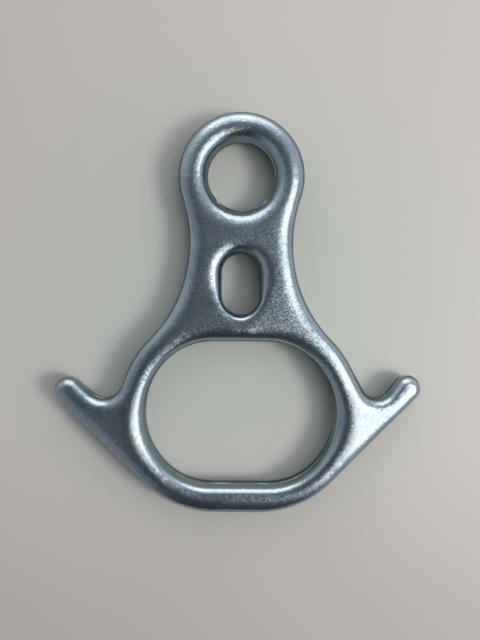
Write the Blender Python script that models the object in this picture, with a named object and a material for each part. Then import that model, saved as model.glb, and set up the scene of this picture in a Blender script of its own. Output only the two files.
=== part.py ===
"""Figure eight descender with two ears: one drop forging, trimmed at mid thickness.

The body lies on its back: +Z is the thickness, +Y points to the small ring, +X to the right.
The origin is the middle of the footprint, at the back face. Lengths are in metres.
"""

from itertools import combinations
from math import acos, atan2, ceil, cos, pi, radians, sin, sqrt, tan

import bmesh
import bpy
from mathutils import Vector
from mathutils.geometry import intersect_point_line

# Forging section
THICKNESS = 0.0127
EDGE_FILLET = 0.0044
DRAFT_ANGLE = radians(5)
TRIM_LAND_HEIGHT = 0.0014
TRIM_LAND_STEP = 0.0002
LEAST_CROWN = 0.0002

# Down the axis: the eye in its small ring, the slot in the neck, the opening of the large ring
EYE_RADIUS = 0.0135
RING_WALL = 0.0113
EYE_TO_SLOT = 0.01645
SLOT_WIDTH = 0.0151
SLOT_LENGTH = 0.0241
SLOT_TO_OPENING = 0.01075
OPENING_HEIGHT = 0.0579
OPENING_WIDTH = 0.0760
FOOT_BAR = 0.0117

# Curves of the opening: its sides' radius is more than half its height, its corners' less
OPENING_SIDE_BOW = 0.00235
OPENING_TOP_EASE = 0.00185
OPENING_FOOT_EASE = 0.00415

# Outside: the hollow sides of the neck, and the bar of the large ring round its opening
NECK_HOLLOW_RADIUS = 0.0493
SHOULDER_BAR = 0.0108
FOOT_CORNER_RADIUS = 0.0421

# Right ear: where its round end lies, and the crook that holds a rope
RIGHT_EAR_RADIUS = 0.0052
RIGHT_EAR_OVERHANG = 0.0183
RIGHT_EAR_RISE = 0.01065
RIGHT_EAR_SLOPE = radians(54.6)
RIGHT_CROOK_RADIUS = 0.0058
RIGHT_FLANK_LEAN = radians(29.3)
RIGHT_FOOT_FLAT = 0.0068

# Left ear, which came out of the dies a little longer and wider
LEFT_EAR_RADIUS = 0.0056
LEFT_EAR_OVERHANG = 0.0200
LEFT_EAR_RISE = 0.00865
LEFT_EAR_SLOPE = radians(42.5)
LEFT_CROOK_RADIUS = 0.0074
LEFT_FLANK_LEAN = radians(21.8)
LEFT_FOOT_FLAT = 0.0095

# Fineness of the curves
CHORD_ERROR = 0.00006
FILLET_STEPS = 5

ZINC_PLATE = (0.56, 0.61, 0.65, 1.0)
ZINC_ROUGHNESS = 0.32

DOWN = -pi / 2
UP = pi / 2

# Places on the axis, measured from the eye's centre
RING_RADIUS = EYE_RADIUS + RING_WALL
SLOT_MIDDLE = -(EYE_RADIUS + EYE_TO_SLOT + SLOT_LENGTH / 2)
OPENING_TOP = SLOT_MIDDLE - SLOT_LENGTH / 2 - SLOT_TO_OPENING
OPENING_MIDDLE = OPENING_TOP - OPENING_HEIGHT / 2
OPENING_FOOT = OPENING_TOP - OPENING_HEIGHT
FOOT = OPENING_FOOT - FOOT_BAR

OPENING_SIDE_RADIUS = OPENING_HEIGHT / 2 + OPENING_SIDE_BOW
OPENING_SIDE_CENTRE = Vector((OPENING_WIDTH / 2 - OPENING_SIDE_RADIUS, OPENING_MIDDLE))
SHOULDER_RADIUS = OPENING_SIDE_RADIUS + SHOULDER_BAR


def direction(angle):
    return Vector((cos(angle), sin(angle)))


def angle_of(vector):
    return atan2(vector.y, vector.x)


def arc(centre, radius, start, end, hollow=False):
    """Points and outward normals along an arc; the metal is outside a hollow one."""
    step = 2 * acos(1 - CHORD_ERROR / radius)
    count = max(2, ceil(abs(end - start) / step))
    stations = []
    for index in range(count + 1):
        along = direction(start + (end - start) * index / count)
        normal = -along if hollow else along
        stations.append((centre + radius * along, normal))
    return stations


def joined(*arcs):
    """One run of stations from arcs that follow each other, each shared end kept once."""
    run = []
    for stations in arcs:
        for point, normal in stations:
            if not run or (point - run[-1][0]).length > CHORD_ERROR:
                run.append((point, normal))
    return run


def mirrored(run):
    """The same run on the other side of the axis, in reverse order."""
    flip = Vector((-1, 1))
    return [(point * flip, normal * flip) for point, normal in reversed(run)]


def closed(right, left):
    """A whole outline from its right half and its left half, both running from top to foot."""
    run = joined(right, mirrored(left))
    if (run[0][0] - run[-1][0]).length < CHORD_ERROR:
        run.pop()
    return run


def crossing(first_normal, first_offset, second_normal, second_offset):
    """Where two straight lines cross, each given by its normal and its offset along it."""
    cross = first_normal.cross(second_normal)
    x = (first_offset * second_normal.y - second_offset * first_normal.y) / cross
    y = (first_normal.x * second_offset - second_normal.x * first_offset) / cross
    return Vector((x, y))


def hollow_centre(upper, upper_radius, lower, lower_radius, radius):
    """Centre of the hollow arc that touches two rounds from the right."""
    between = lower - upper
    span = between.length
    to_upper = upper_radius + radius
    to_lower = lower_radius + radius
    along = (to_upper ** 2 - to_lower ** 2 + span ** 2) / (2 * span)
    aside = sqrt(to_upper ** 2 - along ** 2)
    course = between / span
    return upper + along * course + aside * Vector((-course.y, course.x))


def tangent_angle(small, small_radius, large, large_radius):
    """Direction of the normal of the straight edge laid against two rounds from the lower right."""
    between = small - large
    return angle_of(between) - acos((large_radius - small_radius) / between.length)


def body_half(radius, overhang, rise, slope, crook_radius, lean, foot_flat):
    """The outer edge on one side, from the top of the small ring to the middle of the foot."""
    eye = Vector((0, 0))
    shoulder = OPENING_SIDE_CENTRE
    hollow = hollow_centre(eye, RING_RADIUS, shoulder, SHOULDER_RADIUS, NECK_HOLLOW_RADIUS)
    neck_start = angle_of(hollow)
    neck_end = angle_of(hollow - shoulder)

    ear = Vector((OPENING_WIDTH / 2 + SHOULDER_BAR + overhang, OPENING_MIDDLE + rise))
    corner = Vector((foot_flat, FOOT + FOOT_CORNER_RADIUS))
    ear_top = UP + slope
    ear_foot = tangent_angle(ear, radius, corner, FOOT_CORNER_RADIUS)
    crook = crossing(
        direction(lean), shoulder.dot(direction(lean)) + SHOULDER_RADIUS + crook_radius,
        direction(ear_top), ear.dot(direction(ear_top)) + radius + crook_radius,
    )
    return joined(
        arc(eye, RING_RADIUS, UP, neck_start),
        arc(hollow, NECK_HOLLOW_RADIUS, neck_start + pi, neck_end + pi, hollow=True),
        arc(shoulder, SHOULDER_RADIUS, neck_end, lean),
        arc(crook, crook_radius, lean + pi, ear_top + pi, hollow=True),
        arc(ear, radius, ear_top, ear_foot),
        arc(corner, FOOT_CORNER_RADIUS, ear_foot, DOWN),
    )


def body_outline():
    right = body_half(
        RIGHT_EAR_RADIUS, RIGHT_EAR_OVERHANG, RIGHT_EAR_RISE, RIGHT_EAR_SLOPE,
        RIGHT_CROOK_RADIUS, RIGHT_FLANK_LEAN, RIGHT_FOOT_FLAT,
    )
    left = body_half(
        LEFT_EAR_RADIUS, LEFT_EAR_OVERHANG, LEFT_EAR_RISE, LEFT_EAR_SLOPE,
        LEFT_CROOK_RADIUS, LEFT_FLANK_LEAN, LEFT_FOOT_FLAT,
    )
    return closed(right, left)


def eye_outline():
    half = arc(Vector((0, 0)), EYE_RADIUS, UP, DOWN, hollow=True)
    return closed(half, half)


def slot_outline():
    """The middle slot: two half rounds and straight sides."""
    radius = SLOT_WIDTH / 2
    to_end = Vector((0, SLOT_LENGTH / 2 - radius))
    middle = Vector((0, SLOT_MIDDLE))
    half = joined(
        arc(middle + to_end, radius, UP, 0, hollow=True),
        arc(middle - to_end, radius, 0, DOWN, hollow=True),
    )
    return closed(half, half)


def opening_corner(ease, upward):
    """Centre, radius and side angle of the arc between a bowed side and the level top or foot."""
    radius = OPENING_HEIGHT / 2 - ease
    across = sqrt((OPENING_SIDE_RADIUS - radius) ** 2 - ease ** 2)
    step = Vector((across, upward * ease))
    return OPENING_SIDE_CENTRE + step, radius, angle_of(step)


def opening_outline():
    """The large opening: bowed sides, level top and foot, and a round corner between each."""
    top, top_radius, top_angle = opening_corner(OPENING_TOP_EASE, 1)
    foot, foot_radius, foot_angle = opening_corner(OPENING_FOOT_EASE, -1)
    half = joined(
        arc(top, top_radius, UP, top_angle, hollow=True),
        arc(OPENING_SIDE_CENTRE, OPENING_SIDE_RADIUS, top_angle, foot_angle, hollow=True),
        arc(foot, foot_radius, foot_angle, DOWN, hollow=True),
    )
    return closed(half, half)


def distance_to_outline(point, outline):
    """Least distance from a point to the straight pieces between an outline's stations."""
    least = THICKNESS
    for index in range(len(outline)):
        start = outline[index - 1][0]
        end = outline[index][0]
        share = intersect_point_line(point, start, end)[1]
        nearest = start.lerp(end, min(1, max(0, share)))
        least = min(least, (point - nearest).length)
    return least


def edge_fillet(outlines):
    """The edge's rounding, held within half of the thinnest wall that it goes round."""
    walls = [THICKNESS - TRIM_LAND_HEIGHT, 2 * RIGHT_EAR_RADIUS, 2 * LEFT_EAR_RADIUS]
    for first, second in combinations(outlines, 2):
        walls += [distance_to_outline(point, first) for point, normal in second]
    return min(EDGE_FILLET, min(walls) / 2 - TRIM_LAND_STEP - LEAST_CROWN)


def section(fillet):
    """Inset and height of each row of the edge, from the back's flat round to the front's."""
    middle = THICKNESS / 2
    land = TRIM_LAND_HEIGHT / 2
    wall_top = middle - fillet * (1 - sin(DRAFT_ANGLE))
    wall_inset = TRIM_LAND_STEP + (wall_top - land) * tan(DRAFT_ANGLE)
    fillet_inset = wall_inset + fillet * cos(DRAFT_ANGLE)
    front = [(0, land), (TRIM_LAND_STEP, land + TRIM_LAND_STEP)]
    for index in range(FILLET_STEPS + 1):
        angle = DRAFT_ANGLE + (UP - DRAFT_ANGLE) * index / FILLET_STEPS
        front.append((fillet_inset - fillet * cos(angle), middle - fillet + fillet * sin(angle)))
    back = [(inset, -height) for inset, height in reversed(front)]
    return [(inset, middle + height) for inset, height in back + front]


def add_edge(mesh, outline, rows, origin):
    """The rounded edge along one outline; its first and last rows bound the back and the front."""
    rings = []
    for inset, height in rows:
        places = [point - normal * inset - origin for point, normal in outline]
        rings.append([mesh.verts.new((place.x, place.y, height)) for place in places])
    for lower, upper in zip(rings, rings[1:]):
        for index in range(len(outline)):
            before = index - 1
            mesh.faces.new((lower[before], lower[index], upper[index], upper[before]))
    return rings[0], rings[-1]


def add_flat(mesh, rings):
    """One level face bounded by the body's ring of vertices and those of its openings."""
    edges = []
    for ring in rings:
        edges += [mesh.edges.get((ring[index - 1], ring[index])) for index in range(len(ring))]
    bmesh.ops.triangle_fill(mesh, use_beauty=True, edges=edges)


def zinc_plate():
    material = bpy.data.materials.new("zinc_plate")
    material.use_nodes = True
    surface = material.node_tree.nodes["Principled BSDF"]
    surface.inputs["Base Color"].default_value = ZINC_PLATE
    surface.inputs["Metallic"].default_value = 1.0
    surface.inputs["Roughness"].default_value = ZINC_ROUGHNESS
    return material


def forged_body():
    outlines = (body_outline(), eye_outline(), slot_outline(), opening_outline())
    across = [point.x for point, normal in outlines[0]]
    origin = Vector((min(across) + max(across), RING_RADIUS + FOOT)) / 2
    rows = section(edge_fillet(outlines))
    mesh = bmesh.new()
    ends = [add_edge(mesh, outline, rows, origin) for outline in outlines]
    add_flat(mesh, [back for back, front in ends])
    add_flat(mesh, [front for back, front in ends])
    bmesh.ops.recalc_face_normals(mesh, faces=mesh.faces)
    data = bpy.data.meshes.new("forged_body")
    mesh.to_mesh(data)
    mesh.free()
    data.shade_smooth()
    data.set_sharp_from_angle(angle=radians(30))
    data.materials.append(zinc_plate())
    forging = bpy.data.objects.new("forged_body", data)
    bpy.context.collection.objects.link(forging)
    return forging


def clear_scene():
    for thing in list(bpy.data.objects):
        bpy.data.objects.remove(thing, do_unlink=True)


clear_scene()
forged_body()
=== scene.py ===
"""Figure eight descender with two ears: a zinc-plated drop forging lying on a pale bench.

The forging is built finer here than in the frame, from nearly the same sizes: smooth curves,
crowned faces that fall towards the ears, the trimmed flash line, the skin left by blasting, and a
few dings. Lengths are in metres.
"""

from collections import namedtuple
from math import acos, asin, atan2, ceil, cos, exp, pi, radians, sin, sqrt

import bmesh
import bpy
from mathutils import Matrix, Vector, noise
from mathutils.geometry import delaunay_2d_cdt
from mathutils.kdtree import KDTree


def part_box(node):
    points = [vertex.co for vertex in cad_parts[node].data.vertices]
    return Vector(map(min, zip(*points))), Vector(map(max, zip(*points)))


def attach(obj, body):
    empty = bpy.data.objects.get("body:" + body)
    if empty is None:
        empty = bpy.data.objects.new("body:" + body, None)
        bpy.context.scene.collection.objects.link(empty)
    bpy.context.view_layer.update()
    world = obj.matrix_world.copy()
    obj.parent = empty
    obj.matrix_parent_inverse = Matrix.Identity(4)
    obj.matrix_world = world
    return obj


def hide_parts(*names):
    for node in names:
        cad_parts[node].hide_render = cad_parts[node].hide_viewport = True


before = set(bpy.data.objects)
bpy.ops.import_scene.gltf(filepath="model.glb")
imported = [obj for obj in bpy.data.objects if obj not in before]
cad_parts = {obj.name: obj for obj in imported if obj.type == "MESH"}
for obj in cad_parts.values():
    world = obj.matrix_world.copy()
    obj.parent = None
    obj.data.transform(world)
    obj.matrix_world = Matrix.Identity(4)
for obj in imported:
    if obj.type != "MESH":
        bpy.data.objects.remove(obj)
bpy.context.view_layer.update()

DOWN = -pi / 2
UP = pi / 2

# Forging section
THICKNESS = 0.0127
STEEPEST = radians(85)
TRIM_LAND_HEIGHT = 0.0014
TRIM_LAND_STEP = 0.00014

# The land's rows on one side of its middle: inset per step, and height per half of the land
LAND_ROWS = ((0, 0.25), (0, 0.85), (0.3, 1.05))

# Each lip: where its rounding starts inside the outline, how far it reaches, how softly it runs out
EYE_LIP = (0.0006, 0.0069, 1.12)
RING_LIP = (0.00042, 0.0054, 0.95)
NECK_LIP = (0.00042, 0.0085, 2.0)
EAR_LIP = (0.00042, 0.0050, 1.2)
FLANK_LIP = (0.00042, 0.0062, 1.15)
SLOT_LIP = (0.00042, 0.0050, 1.3)
OPENING_LIP = (0.00042, 0.0085, 1.7)

# The rim left in the eye by its punch
EYE_RIM = 0.0004

# Each face's fall towards the ears: its slope, how far outside the opening it starts, its ease, its most
EAR_FALL = 0.125
EAR_FALL_START = 0.0068
EAR_FALL_EASE = 0.0080
EAR_FALL_MOST = 0.0026

# Seen from the centre of the opening's side, the sine of the rise at which the fall is none and full
EAR_FALL_ABOVE = (0.62, 0.25)
EAR_FALL_BELOW = (-0.95, -0.70)

# Down the axis: the eye in its small ring, the slot in the neck, the opening of the large ring
EYE_RADIUS = 0.0135
RING_WALL = 0.0113
EYE_TO_SLOT = 0.01645
SLOT_WIDTH = 0.0151
SLOT_LENGTH = 0.0241
SLOT_TO_OPENING = 0.01075
OPENING_HEIGHT = 0.0579
OPENING_WIDTH = 0.0760
FOOT_BAR = 0.0117

# Curves of the opening
OPENING_SIDE_BOW = 0.00235
OPENING_TOP_EASE = 0.00185
OPENING_FOOT_EASE = 0.00415

# Outside: the hollow sides of the neck, and the bar of the large ring round its opening
NECK_HOLLOW_RADIUS = 0.0545
SHOULDER_BAR = 0.0108
FOOT_CORNER_RADIUS = 0.0421

# Each ear: its round end's radius, overhang and rise, its slope, the crook, the flank, half the foot flat
Ear = namedtuple("Ear", "radius overhang rise slope crook_radius lean foot_flat")
RIGHT_EAR = Ear(0.0052, 0.0183, 0.01065, radians(54.6), 0.0058, radians(29.3), 0.0068)
LEFT_EAR = Ear(0.0056, 0.0200, 0.00865, radians(42.5), 0.0074, radians(21.8), 0.0095)

# Places on the axis, measured from the eye's centre
RING_RADIUS = EYE_RADIUS + RING_WALL
SLOT_MIDDLE = -(EYE_RADIUS + EYE_TO_SLOT + SLOT_LENGTH / 2)
OPENING_TOP = SLOT_MIDDLE - SLOT_LENGTH / 2 - SLOT_TO_OPENING
OPENING_MIDDLE = OPENING_TOP - OPENING_HEIGHT / 2
FOOT = OPENING_TOP - OPENING_HEIGHT - FOOT_BAR
OPENING_SIDE_RADIUS = OPENING_HEIGHT / 2 + OPENING_SIDE_BOW
OPENING_SIDE_CENTRE = Vector((OPENING_WIDTH / 2 - OPENING_SIDE_RADIUS, OPENING_MIDDLE))
SHOULDER_RADIUS = OPENING_SIDE_RADIUS + SHOULDER_BAR

# Fineness of the mesh
CHORD_ERROR = 0.000012
LONGEST_STEP = 0.0008
SAME_PLACE = 0.00005
LIP_STEPS = 10
LIP_LAST_TILT = radians(26)
DROP_STEPS = 12
LIP_EVENING = 5
LIP_EVENING_PASSES = 3
CREST_PITCH = 0.0006
CREST_MARGIN = 0.0004
CREST_SMOOTHINGS = 6
CREASE = radians(30)
SAME_CORNER = 1e-9

# Twice the area up to which a triangle counts as a flat sliver
SLIVER = 1e-10

# The far side of a bar: how far inside its near side it is looked for, and how opposite its normal has to be
PROBE_INSET = 0.0035
OPPOSING = -0.8

# The skin: depth and size of its waves
SKIN_WAVES = ((0.00003, 0.0075), (0.000005, 0.0021))

# The wandering of the trimmed flash line: its depth, its length, and a flutter that is finer and weaker
TRIM_WANDER = 0.00012
TRIM_WANDER_LENGTH = 0.0055
TRIM_FLUTTER_FINER = 3
TRIM_FLUTTER_SHARE = 0.5

# Dings: place, radius and depth
DINGS = (
    ((0.0586, -0.0412, 0.0124), 0.0009, 0.00028),
    ((-0.0130, 0.0352, 0.0127), 0.0006, 0.00010),
    ((0.0215, -0.0105, 0.0124), 0.0005, 0.00008),
    ((-0.0470, -0.0520, 0.0126), 0.0006, 0.00009),
    ((0.0120, -0.0790, 0.0020), 0.0010, 0.00020),
    ((-0.0180, 0.0480, 0.0001), 0.0008, 0.00012),
)


def direction(angle):
    return Vector((cos(angle), sin(angle)))


def angle_of(vector):
    return atan2(vector.y, vector.x)


# A place on an outline; its centre is the one of its arc, and None on a straight edge
Station = namedtuple("Station", "point normal centre lip")


def arc(centre, radius, start, end, lip, hollow=False):
    """Stations along an arc, with outward normals; the metal is outside a hollow one."""
    step = min(2 * acos(1 - CHORD_ERROR / radius), LONGEST_STEP / radius)
    count = max(2, ceil(abs(end - start) / step))
    stations = []
    for index in range(count + 1):
        along = direction(start + (end - start) * index / count)
        stations.append(Station(centre + radius * along, -along if hollow else along, centre, lip))
    return stations


def straight(start, end):
    """Stations between the last one of one arc and the first one of the next, ends left out."""
    count = ceil((end.point - start.point).length / LONGEST_STEP)
    shares = [index / count for index in range(1, count)]
    return [Station(start.point.lerp(end.point, share), start.normal, None, start.lip) for share in shares]


def joined(*arcs):
    """One run of stations from arcs that follow each other, with straight edges between them."""
    run = list(arcs[0])
    for stations in arcs[1:]:
        gap = (stations[0].point - run[-1].point).length
        if gap > LONGEST_STEP:
            run += straight(run[-1], stations[0])
        run += stations[1:] if gap < SAME_PLACE else stations
    return run


def mirrored(run):
    """The same run on the other side of the axis, in reverse order."""
    flip = Vector((-1, 1))
    return [
        Station(point * flip, normal * flip, centre and centre * flip, lip)
        for point, normal, centre, lip in reversed(run)
    ]


def closed(right, left):
    """A whole outline from its right half and its left half, both running from top to foot."""
    run = joined(right, mirrored(left))
    if (run[0].point - run[-1].point).length < SAME_PLACE:
        run.pop()
    return run


def crossing(first_normal, first_offset, second_normal, second_offset):
    """Where two straight lines cross, each given by its normal and its offset along it."""
    cross = first_normal.cross(second_normal)
    x = (first_offset * second_normal.y - second_offset * first_normal.y) / cross
    y = (first_normal.x * second_offset - second_normal.x * first_offset) / cross
    return Vector((x, y))


def hollow_centre(upper, upper_radius, lower, lower_radius, radius):
    """Centre of the hollow arc that touches two rounds from the right."""
    between = lower - upper
    span = between.length
    to_upper = upper_radius + radius
    to_lower = lower_radius + radius
    along = (to_upper ** 2 - to_lower ** 2 + span ** 2) / (2 * span)
    aside = sqrt(to_upper ** 2 - along ** 2)
    course = between / span
    return upper + along * course + aside * Vector((-course.y, course.x))


def tangent_angle(small, small_radius, large, large_radius):
    """Direction of the normal of the straight edge laid against two rounds from the lower right."""
    between = small - large
    return angle_of(between) - acos((large_radius - small_radius) / between.length)


def body_half(radius, overhang, rise, slope, crook_radius, lean, foot_flat):
    """The outer edge on one side, from the top of the small ring to the middle of the foot."""
    eye = Vector((0, 0))
    shoulder = OPENING_SIDE_CENTRE
    hollow = hollow_centre(eye, RING_RADIUS, shoulder, SHOULDER_RADIUS, NECK_HOLLOW_RADIUS)
    neck_start = angle_of(hollow)
    neck_end = angle_of(hollow - shoulder)

    ear = Vector((OPENING_WIDTH / 2 + SHOULDER_BAR + overhang, OPENING_MIDDLE + rise))
    corner = Vector((foot_flat, FOOT + FOOT_CORNER_RADIUS))
    ear_top = UP + slope
    ear_foot = tangent_angle(ear, radius, corner, FOOT_CORNER_RADIUS)
    crook = crossing(
        direction(lean), shoulder.dot(direction(lean)) + SHOULDER_RADIUS + crook_radius,
        direction(ear_top), ear.dot(direction(ear_top)) + radius + crook_radius,
    )
    return joined(
        arc(eye, RING_RADIUS, UP, neck_start, RING_LIP),
        arc(hollow, NECK_HOLLOW_RADIUS, neck_start + pi, neck_end + pi, NECK_LIP, hollow=True),
        arc(shoulder, SHOULDER_RADIUS, neck_end, lean, FLANK_LIP),
        arc(crook, crook_radius, lean + pi, ear_top + pi, EAR_LIP, hollow=True),
        arc(ear, radius, ear_top, ear_foot, EAR_LIP),
        arc(corner, FOOT_CORNER_RADIUS, ear_foot, DOWN, FLANK_LIP),
    )


def eye_outline():
    half = arc(Vector((0, 0)), EYE_RADIUS - EYE_RIM, UP, DOWN, EYE_LIP, hollow=True)
    return closed(half, half)


def slot_outline():
    """The middle slot: two half rounds and straight sides."""
    radius = SLOT_WIDTH / 2
    to_end = Vector((0, SLOT_LENGTH / 2 - radius))
    middle = Vector((0, SLOT_MIDDLE))
    half = joined(
        arc(middle + to_end, radius, UP, 0, SLOT_LIP, hollow=True),
        arc(middle - to_end, radius, 0, DOWN, SLOT_LIP, hollow=True),
    )
    return closed(half, half)


def opening_corner(ease, upward):
    """Centre, radius and side angle of the arc between a bowed side and the level top or foot."""
    radius = OPENING_HEIGHT / 2 - ease
    across = sqrt((OPENING_SIDE_RADIUS - radius) ** 2 - ease ** 2)
    step = Vector((across, upward * ease))
    return OPENING_SIDE_CENTRE + step, radius, angle_of(step)


def opening_outline():
    """The large opening: bowed sides, level top and foot, and a round corner between each."""
    top, top_radius, top_angle = opening_corner(OPENING_TOP_EASE, 1)
    foot, foot_radius, foot_angle = opening_corner(OPENING_FOOT_EASE, -1)
    half = joined(
        arc(top, top_radius, UP, top_angle, OPENING_LIP, hollow=True),
        arc(OPENING_SIDE_CENTRE, OPENING_SIDE_RADIUS, top_angle, foot_angle, OPENING_LIP, hollow=True),
        arc(foot, foot_radius, foot_angle, DOWN, OPENING_LIP, hollow=True),
    )
    return closed(half, half)


def eye_in_frame():
    """Where the eye's centre is in the frame, from the solid's box."""
    low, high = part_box("forged_body")
    right_reach = OPENING_WIDTH / 2 + SHOULDER_BAR + RIGHT_EAR.overhang + RIGHT_EAR.radius
    return Vector((high.x - right_reach, high.y - RING_RADIUS))


def in_frame(run):
    """An outline moved from the eye's centre to the frame's place."""
    eye = eye_in_frame()
    return [Station(point + eye, normal, centre and centre + eye, lip) for point, normal, centre, lip in run]


def evened(run):
    """The same outline with one lip running gently into the next."""
    for _ in range(LIP_EVENING_PASSES):
        lips = [station.lip for station in run]
        mixed = []
        for index, station in enumerate(run):
            around = [lips[(index + step) % len(run)] for step in range(-LIP_EVENING, LIP_EVENING + 1)]
            lip = tuple(sum(values) / len(around) for values in zip(*around))
            mixed.append(station._replace(lip=lip))
        run = mixed
    return run


def tree_of(points):
    tree = KDTree(len(points))
    for index, point in enumerate(points):
        tree.insert(point.to_3d(), index)
    tree.balance()
    return tree


def opposes(one, other):
    """Whether two stations face away from each other, as the two sides of a bar do."""
    return one.normal.dot(other.normal) < OPPOSING


def with_held_lips(outlines):
    """The same outlines, with every lip held within half of the bar that it is on."""
    stations = [station for run in outlines for station in run]
    tree = tree_of([station.point for station in stations])
    held = []
    for run in outlines:
        lips = []
        for own in run:
            probe = own.point - own.normal * PROBE_INSET
            found = tree.find(probe.to_3d(), filter=lambda index: opposes(stations[index], own))
            across = stations[found[1]]
            half_bar = (PROBE_INSET + (across.point - probe).dot(across.normal)) / 2
            start, reach, softness = own.lip
            lips.append(own._replace(lip=(start, min(reach, half_bar - start), softness)))
        held.append(evened(lips))
    return held


def inset_from(station, place):
    """How far a place lies inside the curve that a station is on."""
    if station.centre is None:
        return (station.point - place).dot(station.normal)
    out = station.point - station.centre
    reach = (place - station.centre).length
    return out.length - reach if out.dot(station.normal) > 0 else reach - out.length


class Crown:
    """The rounded top between the lips."""

    def __init__(self, outlines):
        self.stations = [station for run in outlines for station in run]
        self.tree = tree_of([station.point for station in self.stations])

    def height(self, place):
        own = self.stations[self.tree.find(place.to_3d())[1]]
        start, reach, softness = own.lip
        share = (start + reach - inset_from(own, place)) / reach
        tilt = asin(min(1, max(0, share)) ** softness)
        return THICKNESS - reach * drop(tilt, softness)


def drop(tilt, softness):
    """Fall from the crest to where the surface has this tilt, per unit of the lip's reach."""
    step = tilt / DROP_STEPS
    total = 0
    for index in range(DROP_STEPS + 1):
        weight = 1 if index in (0, DROP_STEPS) else 4 if index % 2 else 2
        total += weight * sin(index * step) ** (1 / softness)
    return total * step / 3 / softness


def lip_rows(start, reach, softness):
    """Inset and height of each row of the edge at one station, from the land's middle to the front."""
    land = TRIM_LAND_HEIGHT / 2
    middle = THICKNESS / 2
    rows = [(TRIM_LAND_STEP * inset, middle + land * height) for inset, height in LAND_ROWS]
    rows.append((TRIM_LAND_STEP, middle + land + TRIM_LAND_STEP))
    for index in range(LIP_STEPS + 1):
        tilt = STEEPEST + (LIP_LAST_TILT - STEEPEST) * index / LIP_STEPS
        inset = start + reach * (sin(STEEPEST) ** (1 / softness) - sin(tilt) ** (1 / softness))
        rows.append((inset, THICKNESS - reach * drop(tilt, softness)))
    return rows


def lifted(wave):
    """A wave about zero, halved and moved to lie about one half."""
    return 0.5 + 0.5 * wave


def trim_wander(place):
    """How far in the shear left the flash line here."""
    wave = noise.noise(place / TRIM_WANDER_LENGTH)
    flutter = noise.noise(place * TRIM_FLUTTER_FINER / TRIM_WANDER_LENGTH)
    return TRIM_WANDER * lifted(wave + TRIM_FLUTTER_SHARE * flutter)


def add_edge(mesh, run):
    """The rounded edge along one outline; its first and last rows bound the back and the front."""
    columns = []
    for station in run:
        front = lip_rows(*station.lip)
        back = [(inset, THICKNESS - height) for inset, height in reversed(front)]
        wander = trim_wander(station.point.to_3d())
        column = []
        for inset, height in back + front:
            on_land = abs(height - THICKNESS / 2) < TRIM_LAND_HEIGHT / 2 + TRIM_LAND_STEP / 2
            place = station.point - station.normal * (max(inset, wander) if on_land else inset)
            column.append(mesh.verts.new((place.x, place.y, height)))
        columns.append(column)
    for index, column in enumerate(columns):
        before = columns[index - 1]
        for row in range(len(column) - 1):
            mesh.faces.new((before[row], column[row], column[row + 1], before[row + 1]))
    return [column[0] for column in columns], [column[-1] for column in columns]


def crossings_to_right(point, ring):
    """How many sides of a ring of points lie level with a point and to its right."""
    count = 0
    for index in range(len(ring)):
        a = ring[index - 1]
        b = ring[index]
        if (a.y > point.y) != (b.y > point.y):
            x = a.x + (b.x - a.x) * (point.y - a.y) / (b.y - a.y)
            count += x > point.x
    return count


def is_metal(point, rings):
    """Whether a point is inside the outer edge and outside the openings."""
    return sum(crossings_to_right(point, ring) for ring in rings) % 2 == 1


def crest_points(rings):
    """A staggered grid of points inside the body and clear of its rounded edges."""
    edge = [point for ring in rings for point in ring]
    nearest = tree_of(edge)
    low = Vector((min(point.x for point in edge), min(point.y for point in edge)))
    high = Vector((max(point.x for point in edge), max(point.y for point in edge)))
    points = []
    row_pitch = CREST_PITCH * sqrt(3) / 2
    for row in range(ceil((high.y - low.y) / row_pitch)):
        stagger = CREST_PITCH / 2 * (row % 2)
        for column in range(ceil((high.x - low.x) / CREST_PITCH)):
            point = low + Vector((column * CREST_PITCH + stagger, row * row_pitch))
            if nearest.find(point.to_3d())[2] > CREST_MARGIN and is_metal(point, rings):
                points.append(point)
    return points


def smoothed(heights, triangles, fixed):
    """Heights after each free point has moved to the mean of its neighbours a few times."""
    around = [set() for _ in heights]
    for triangle in triangles:
        for corner in triangle:
            around[corner].update(triangle)
    for _ in range(CREST_SMOOTHINGS):
        means = [sum(heights[other] for other in near) / max(1, len(near)) for near in around]
        heights = heights[:fixed] + means[fixed:]
    return heights


def has_area(a, b, c):
    """Whether three corners make more than the flat sliver that a straight edge can leave."""
    return abs((b - a).cross(c - a)) > SLIVER


def add_crests(mesh, ends, crown):
    """The back and the front between the rounded edges: even triangles that rise to the crest."""
    rings = [[vertex.co.to_2d() for vertex in front] for back, front in ends]
    points = [point for ring in rings for point in ring]
    edges = []
    first = 0
    for ring in rings:
        edges += [(first + (index - 1) % len(ring), first + index) for index in range(len(ring))]
        first += len(ring)
    net = delaunay_2d_cdt(points + crest_points(rings), edges, [], 0, SAME_CORNER)
    places = net[0]
    triangles = net[2]
    kept = []
    for triangle in triangles:
        corners = [places[corner] for corner in triangle]
        if has_area(*corners) and is_metal(sum(corners, Vector((0, 0))) / 3, rings):
            kept.append(triangle)
    heights = [vertex.co.z for back, front in ends for vertex in front]
    heights += [crown.height(place) for place in places[len(points):]]
    heights = smoothed(heights, kept, len(points))
    for side in (0, 1):
        corners = [vertex for pair in ends for vertex in pair[side]]
        for place, height in zip(places[len(points):], heights[len(points):]):
            corners.append(mesh.verts.new((place.x, place.y, height if side else THICKNESS - height)))
        for triangle in kept:
            mesh.faces.new([corners[corner] for corner in triangle])


def eased(value, none, full):
    """0 at none, 1 at full, with a soft start and a soft end."""
    share = min(1, max(0, (value - none) / (full - none)))
    return share * share * (3 - 2 * share)


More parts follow.
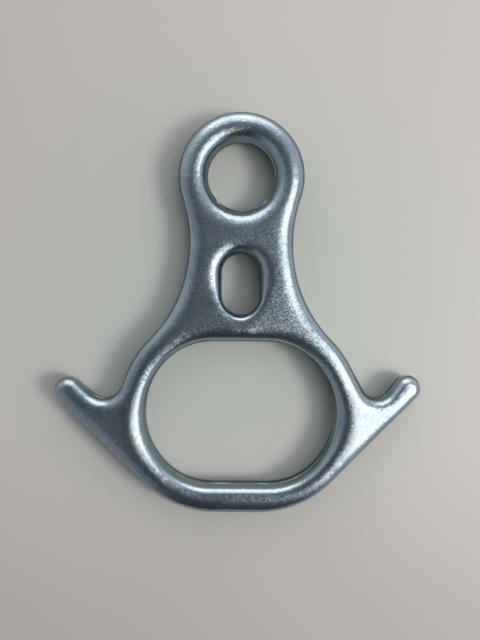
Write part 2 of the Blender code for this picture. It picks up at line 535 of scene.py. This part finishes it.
def thin_ears(mesh):
    """Both faces fall gently from the large ring to the ears."""
    eye = eye_in_frame()
    middle = THICKNESS / 2
    for vertex in mesh.verts:
        place = vertex.co.to_2d() - eye
        out = Vector((abs(place.x), place.y)) - OPENING_SIDE_CENTRE
        beyond = out.length - OPENING_SIDE_RADIUS - EAR_FALL_START
        if beyond > 0 and out.x > 0:
            rise = out.y / out.length
            fall = EAR_FALL * beyond ** 2 / (beyond + EAR_FALL_EASE)
            fall = EAR_FALL_MOST * (1 - exp(-fall / EAR_FALL_MOST))
            fall *= eased(rise, *EAR_FALL_ABOVE) * eased(rise, *EAR_FALL_BELOW)
            vertex.co.z = middle + (vertex.co.z - middle) * (1 - fall / middle)


def press_in(mesh):
    """Waves in the skin and the dings, all pressed inwards, so that nothing leaves the frame."""
    mesh.normal_update()
    moves = []
    for vertex in mesh.verts:
        depth = 0
        for height, length in SKIN_WAVES:
            depth += height * lifted(noise.noise(vertex.co / length))
        for place, radius, deep in DINGS:
            reach = (vertex.co - Vector(place)).length / radius
            if reach < 1:
                depth += deep * (1 - reach ** 2) ** 2
        moves.append(-vertex.normal * depth)
    for vertex, move in zip(mesh.verts, moves):
        vertex.co += move


def placed(name, data):
    """A new object in the scene."""
    thing = bpy.data.objects.new(name, data)
    bpy.context.collection.objects.link(thing)
    return thing


def forged_body(finish):
    """The one piece: four outlines with rounded edges, crowned between them, thinned and dinged."""
    outer = closed(body_half(*RIGHT_EAR), body_half(*LEFT_EAR))
    runs = (outer, eye_outline(), slot_outline(), opening_outline())
    outlines = with_held_lips([evened(in_frame(run)) for run in runs])
    mesh = bmesh.new()
    add_crests(mesh, [add_edge(mesh, run) for run in outlines], Crown(outlines))
    bmesh.ops.recalc_face_normals(mesh, faces=mesh.faces)
    thin_ears(mesh)
    press_in(mesh)
    data = bpy.data.meshes.new("forging")
    mesh.to_mesh(data)
    mesh.free()
    data.shade_smooth()
    data.set_sharp_from_angle(angle=CREASE)
    data.materials.append(finish)
    forging = placed("forging", data)
    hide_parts("forged_body")
    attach(forging, "root")
    return forging


class Wire:
    """A socket's output; arithmetic on it adds Math nodes."""

    def __init__(self, recipe, socket):
        self.recipe = recipe
        self.socket = socket

    def math(self, operation, first, second):
        return self.recipe.node("ShaderNodeMath", {"operation": operation}, {0: first, 1: second})

    def __add__(self, other):
        return self.math("ADD", self, other)

    __radd__ = __add__

    def __sub__(self, other):
        return self.math("SUBTRACT", self, other)

    def __rsub__(self, other):
        return self.math("SUBTRACT", other, self)

    def __mul__(self, other):
        return self.math("MULTIPLY", self, other)

    __rmul__ = __mul__

    def __truediv__(self, other):
        return self.math("DIVIDE", self, other)

    def __abs__(self):
        return self.math("ABSOLUTE", self, 0)

    def root(self):
        return self.math("SQRT", self, 0)


# Sockets of a colour mix, by number because the other kinds of mix have sockets of the same names
MIX_SHARE = 0
MIX_FIRST = 6
MIX_SECOND = 7
MIX_RESULT = 2


class Recipe:
    """The node tree of a finish or of the room."""

    def __init__(self, owner):
        owner.use_nodes = True
        self.tree = owner.node_tree
        self.tree.nodes.clear()

    def node(self, kind, settings=None, sockets=None, output=0):
        """A new node's output; each socket that is given a wire is linked to it, and the others are set."""
        made = self.tree.nodes.new(kind)
        for name, value in (settings or {}).items():
            setattr(made, name, value)
        for key, value in (sockets or {}).items():
            if isinstance(value, Wire):
                self.tree.links.new(value.socket, made.inputs[key])
            else:
                made.inputs[key].default_value = value
        return Wire(self, made.outputs[output] if len(made.outputs) else None)

    def vectors(self, operation, sockets, output="Vector"):
        """Arithmetic on vectors."""
        return self.node("ShaderNodeVectorMath", {"operation": operation}, sockets, output)

    def scaled(self, vector, factor):
        return self.vectors("SCALE", {0: vector, "Scale": factor})

    def part(self, vector, axis):
        return self.node("ShaderNodeSeparateXYZ", None, {0: vector}, axis)

    def grain(self, place, per_unit, detail):
        return self.node("ShaderNodeTexNoise", None, {"Vector": place, "Scale": per_unit, "Detail": detail})

    def ramp(self, value, low, high, smooth=True):
        """0 below low, 1 above high."""
        settings = {"interpolation_type": "SMOOTHSTEP" if smooth else "LINEAR"}
        return self.node("ShaderNodeMapRange", settings, {0: value, 1: low, 2: high})

    def blended(self, share, first, second):
        """From the first colour to the second."""
        sockets = {MIX_SHARE: share, MIX_FIRST: first, MIX_SECOND: second}
        return self.node("ShaderNodeMix", {"data_type": "RGBA"}, sockets, MIX_RESULT)

    def finish(self, kind, output_kind, sockets):
        shader = self.node(kind, None, sockets)
        self.node(output_kind, None, {"Surface": shader})


# Zinc plate under clear passivation; its edge colour is what it reflects at a grazing angle
ZINC_COOL = (0.50, 0.60, 0.665, 1)
ZINC_PALE = (0.59, 0.67, 0.71, 1)
# Painted shade: the steep walls darker and greener, standing in for the shaded bench that they reflect
ZINC_WALL_SHADE = (0.300, 0.370, 0.350, 1)
ZINC_SPECK = (0.26, 0.33, 0.39, 1)
ZINC_EDGE = (0.36, 0.43, 0.415, 1)
# Wear on the trim land, darkened further as painted shade for the shaded bench that the land reflects
WORN_AND_SHADED_LAND = (0.36, 0.43, 0.41, 1)
PER_MM = 1000

# Grains of the plate: how many to a millimetre, and their detail
BLAST = (2.6, 1.0)
SPECKLE = (2.5, 1.0)
CRYSTAL = (5.5, 1.0)
CLOUD = (0.09, 3.0)
PEEL = (0.4, 2.0)
WEAR = (0.8, 3.0)
SPECKLE_OFFSET = (31, 17, 9)

# Crystal facets: how many to a millimetre, the middle of their colours, and how far they lean
FACETS_PER_MM = 3.3
FACET_MIDDLE = (0.5, 0.5, 0.5)
FACET_LEAN = 0.125

# Where a grain, or the painted shade on a slope, starts to show, and where it is full
CLOUD_SPAN = (0.35, 0.65)
WALL_SHADE_SPAN = (0.28, 0.78)
SPECKLE_SPAN = (0.38, 0.62)
WEAR_SPAN = (0.35, 0.6)

# Where the trim land's look starts to fade and where it ends, in millimetres from the land's middle
LAND_SPAN = (0.62, 0.82)

# How much the speckle, and the wear with its painted shade, take of the colour
SPECKLE_SHARE = 0.42
WEAR_AND_SHADE_SHARE = 0.7

# Roughness: the least, what the cloud and the blasting add, and what wear takes away
LEAST_ROUGHNESS = 0.18
CLOUD_ROUGHNESS = 0.03
BLAST_ROUGHNESS = 0.08
WEAR_POLISH = 0.03

# Relief: its depth, and the share of each grain in it
RELIEF_DEPTH = 0.00010
BLAST_RELIEF = 0.27
CRYSTAL_RELIEF = 0.10
PEEL_RELIEF = 0.10


def zinc_plate():
    """Cool zinc, speckled by the blasting, with painted shade on the steep walls, where it is darker and
    greener, and worn along the trim land, whose wear is darkened further as painted shade.
    """
    material = bpy.data.materials.new("zinc_plate")
    recipe = Recipe(material)
    where = recipe.node("ShaderNodeTexCoord", output="Object")
    facing = recipe.node("ShaderNodeTexCoord", output="Normal")
    mm = recipe.scaled(where, PER_MM)
    height = recipe.part(mm, "Z")

    blast = recipe.grain(mm, *BLAST)
    speckle = recipe.grain(recipe.vectors("ADD", {0: mm, 1: SPECKLE_OFFSET}), *SPECKLE)
    crystal = recipe.grain(mm, *CRYSTAL)
    cloud = recipe.grain(mm, *CLOUD)
    peel = recipe.grain(mm, *PEEL)
    facet = recipe.node("ShaderNodeTexVoronoi", None, {"Vector": mm, "Scale": FACETS_PER_MM}, "Color")
    leaning = recipe.scaled(recipe.vectors("SUBTRACT", {0: facet, 1: FACET_MIDDLE}), FACET_LEAN)
    surface = recipe.node("ShaderNodeNewGeometry", output="Normal")
    leaned = recipe.vectors("NORMALIZE", {0: recipe.vectors("ADD", {0: surface, 1: leaning})})

    # Painted shade: the steeper the surface, the more of the darker, greener wall colour
    wall_shade = recipe.ramp(1 - abs(recipe.part(facing, "Z")), *WALL_SHADE_SPAN)
    land = 1 - recipe.ramp(abs(height - THICKNESS / 2 * PER_MM), *LAND_SPAN)
    wear_and_shade = land * recipe.ramp(recipe.grain(mm, *WEAR), *WEAR_SPAN)

    colour = recipe.blended(recipe.ramp(cloud, *CLOUD_SPAN), ZINC_COOL, ZINC_PALE)
    colour = recipe.blended(wall_shade, colour, ZINC_WALL_SHADE)
    # The trim land's wear, with painted shade in its darker colour
    colour = recipe.blended(wear_and_shade * WEAR_AND_SHADE_SHARE, colour, WORN_AND_SHADED_LAND)
    colour = recipe.blended(recipe.ramp(speckle, *SPECKLE_SPAN) * SPECKLE_SHARE, colour, ZINC_SPECK)

    roughness = LEAST_ROUGHNESS + CLOUD_ROUGHNESS * cloud + BLAST_ROUGHNESS * blast - WEAR_POLISH * wear_and_shade

    relief = BLAST_RELIEF * blast + CRYSTAL_RELIEF * crystal + PEEL_RELIEF * peel
    shape = {"Strength": 1.0, "Distance": RELIEF_DEPTH, "Height": relief, "Normal": leaned}
    bump = recipe.node("ShaderNodeBump", None, shape)
    recipe.finish("ShaderNodeBsdfPrincipled", "ShaderNodeOutputMaterial", {
        "Base Color": colour,
        "Metallic": 1.0,
        "Specular Tint": ZINC_EDGE,
        "Roughness": roughness,
        "Normal": bump,
    })
    return material


# The bench: its colour in the middle, darker and greener as painted shade round the forging, further out, and
# towards the foot of the picture, darker there as painted shade
BENCH_SHADED_MIDDLE = (0.460, 0.480, 0.437, 1)
BENCH_OUTER = (0.530, 0.486, 0.456, 1)
BENCH_NEAR_SHADE = (0.430, 0.401, 0.380, 1)
BENCH_OUTER_SPAN = (0.05, 0.15)
BENCH_NEAR_SHADE_SPAN = (-0.01, -0.14)
BENCH_NEAR_SHADE_SHARE = 0.85

# Its cloud: how many to a metre and their detail, how far it moves the colours, what it adds to roughness
BENCH_CLOUD = (9.0, 4.0)
BENCH_CLOUD_DRIFT = 0.03
BENCH_CLOUD_ROUGHNESS = 0.1
BENCH_ROUGHNESS = 0.5

BENCH_SIDE = 6.0
BENCH_DROP = 0.00002


def bench_laminate():
    """Pale matt laminate with a faint cloud, with painted shade round the forging, where it is darker and
    greener, and painted shade towards the foot of the picture.
    """
    material = bpy.data.materials.new("bench_laminate")
    recipe = Recipe(material)
    where = recipe.node("ShaderNodeTexCoord", output="Object")
    cloud = recipe.grain(where, *BENCH_CLOUD)
    drift = BENCH_CLOUD_DRIFT * cloud
    from_middle = recipe.vectors("LENGTH", {0: where}, "Value")
    # Painted shade: darker and greener in the middle, round the forging
    outer = recipe.ramp(from_middle + drift, *BENCH_OUTER_SPAN)
    # Painted shade: the bench darker towards the foot of the picture
    near = recipe.ramp(recipe.part(where, "Y") + drift, *BENCH_NEAR_SHADE_SPAN)
    colour = recipe.blended(outer, BENCH_SHADED_MIDDLE, BENCH_OUTER)
    colour = recipe.blended(near * BENCH_NEAR_SHADE_SHARE, colour, BENCH_NEAR_SHADE)
    recipe.finish("ShaderNodeBsdfPrincipled", "ShaderNodeOutputMaterial", {
        "Base Color": colour,
        "Roughness": BENCH_ROUGHNESS + BENCH_CLOUD_ROUGHNESS * cloud,
    })
    return material


def bench_top(finish):
    """The bench under the forging, as one flat square."""
    half = BENCH_SIDE / 2
    corners = [(x, y, -BENCH_DROP) for x, y in ((-half, -half), (half, -half), (half, half), (-half, half))]
    data = bpy.data.meshes.new("bench")
    data.from_pydata(corners, [], [(0, 1, 2, 3)])
    data.materials.append(finish)
    bench = placed("bench", data)


DAYLIGHT = (1.04, 1.0, 0.955)
ROOM_LAMP_LIGHT = (1.02, 0.99, 0.97)
FAR_DAYLIGHT = (1.0, 0.99, 0.96)

# The lamps: degrees from +X and from straight up, distance, width and height, radiance, tint, what they light
Lamp = namedtuple("Lamp", "name azimuth polar distance size radiance tint in_metal on_bench")
LAMPS = (
    Lamp("window", -27, 37, 0.9, (0.66, 0.76), 1.46, DAYLIGHT, True, False),
    Lamp("window_edge", 9, 38, 0.9, (0.27, 0.62), 1.15, DAYLIGHT, True, False),
    Lamp("bench_key", -10, 48, 1.1, (0.33, 0.33), 22.5, ROOM_LAMP_LIGHT, False, True),
    Lamp("bench_fill", 0, 40, 1.1, (1.48, 1.48), 1.05, ROOM_LAMP_LIGHT, False, True),
    Lamp("far_window", 93, 70, 1.2, (1.45, 1.35), 1.12, FAR_DAYLIGHT, True, True),
)


def soft_box(lamp):
    """An oval lamp that faces the forging."""
    azimuth = radians(lamp.azimuth)
    polar = radians(lamp.polar)
    width, height = lamp.size
    light = bpy.data.lights.new(lamp.name, "AREA")
    light.shape = "ELLIPSE"
    light.size = width
    light.size_y = height
    # What an ellipse of this size gives off when it shines with this radiance
    light.energy = lamp.radiance * pi * pi / 4 * width * height
    light.color = lamp.tint
    place = Vector((sin(polar) * cos(azimuth), sin(polar) * sin(azimuth), cos(polar))) * lamp.distance
    holder = placed(lamp.name, light)
    holder.location = place
    holder.rotation_euler = place.to_track_quat("Z", "Y").to_euler()
    holder.visible_camera = False
    holder.visible_glossy = lamp.in_metal
    holder.visible_diffuse = lamp.on_bench


# The room: its level all round, and what is added towards the right, the top, the horizon and the window
ROOM_LEVEL = 0.050
ROOM_RIGHT = 0.14
ROOM_TOP = 0.38
ROOM_HORIZON = 0.21
ROOM_HORIZON_SPAN = (0.1, 0.6)
WINDOW_GLOW = 0.28
WINDOW_GLOW_WIDE = cos(radians(38))
WINDOW_GLOW_CLOSE = cos(radians(24))
WINDOW_TOWARDS = (0.5523, -0.2010, 0.8090)
ROOM_DARKEST = (0.02, 0.022, 0.026, 1)
ROOM_LIGHT = (0.91, 1.01, 1.13, 1)

# The dark near side: what it takes away, the courses that it spans, how far from straight up it starts
NEAR_SIDE = 0.92
NEAR_SIDE_COURSE_SPAN = (-0.74, -0.94)
NEAR_SIDE_LOW_SPAN = (0.01, 0.09)
STRAIGHT_UP_GUARD = 0.001


def room():
    """A dim room, lighter towards the top and the right of the picture and dark on its near side."""
    world = bpy.data.worlds.new("room")
    bpy.context.scene.world = world
    recipe = Recipe(world)
    towards = recipe.node("ShaderNodeTexCoord", output="Generated")
    right, top, upward = [recipe.ramp(recipe.part(towards, axis), 0, 1, smooth=False) for axis in "XYZ"]
    # Low is 0 straight up and 1 on the level, and a course is how far a bearing points up the picture
    low = 1 - upward * upward
    horizon = recipe.ramp(low, *ROOM_HORIZON_SPAN)
    course = recipe.part(towards, "Y") / (low + STRAIGHT_UP_GUARD).root()
    near_side = recipe.ramp(course, *NEAR_SIDE_COURSE_SPAN) * recipe.ramp(low, *NEAR_SIDE_LOW_SPAN)
    facing_window = recipe.vectors("DOT_PRODUCT", {0: towards, 1: WINDOW_TOWARDS}, "Value")
    glow = recipe.ramp(facing_window, WINDOW_GLOW_WIDE, WINDOW_GLOW_CLOSE, smooth=False)
    level = ROOM_LEVEL + ROOM_RIGHT * right + ROOM_TOP * top + ROOM_HORIZON * horizon
    level = level * (1 - NEAR_SIDE * near_side) + WINDOW_GLOW * glow * glow
    colour = recipe.blended(level, ROOM_DARKEST, ROOM_LIGHT)
    recipe.finish("ShaderNodeBackground", "ShaderNodeOutputWorld", {"Color": colour})


# The camera: its place, its turns in radians, its lens in pixels of the picture, and how near and far it sees
CAMERA_PLACE = (0.0010, 0.01358, 0.220)
CAMERA_PITCH = 0.07007
CAMERA_YAW = -0.00090
CAMERA_ROLL = -0.00716
FOCAL_PIXELS = 536
PICTURE_HEIGHT = 640
SENSOR = 36
NEAREST_SEEN = 0.01
FARTHEST_SEEN = 20


def camera():
    """The camera over the bench, a few degrees off straight down."""
    lens = bpy.data.cameras.new("camera")
    lens.sensor_width = SENSOR
    lens.lens = SENSOR * FOCAL_PIXELS / PICTURE_HEIGHT
    lens.clip_start = NEAREST_SEEN
    lens.clip_end = FARTHEST_SEEN
    holder = placed("camera", lens)
    turn = Matrix.Rotation(-CAMERA_YAW, 4, "Y") @ Matrix.Rotation(-CAMERA_PITCH, 4, "X")
    turn = turn @ Matrix.Rotation(-CAMERA_ROLL, 4, "Z")
    holder.matrix_world = Matrix.Translation(CAMERA_PLACE) @ turn
    bpy.context.scene.camera = holder


bpy.context.scene.view_settings.view_transform = "Standard"
camera()
forged_body(zinc_plate())
bench_top(bench_laminate())
for lamp in LAMPS:
    soft_box(lamp)
room()
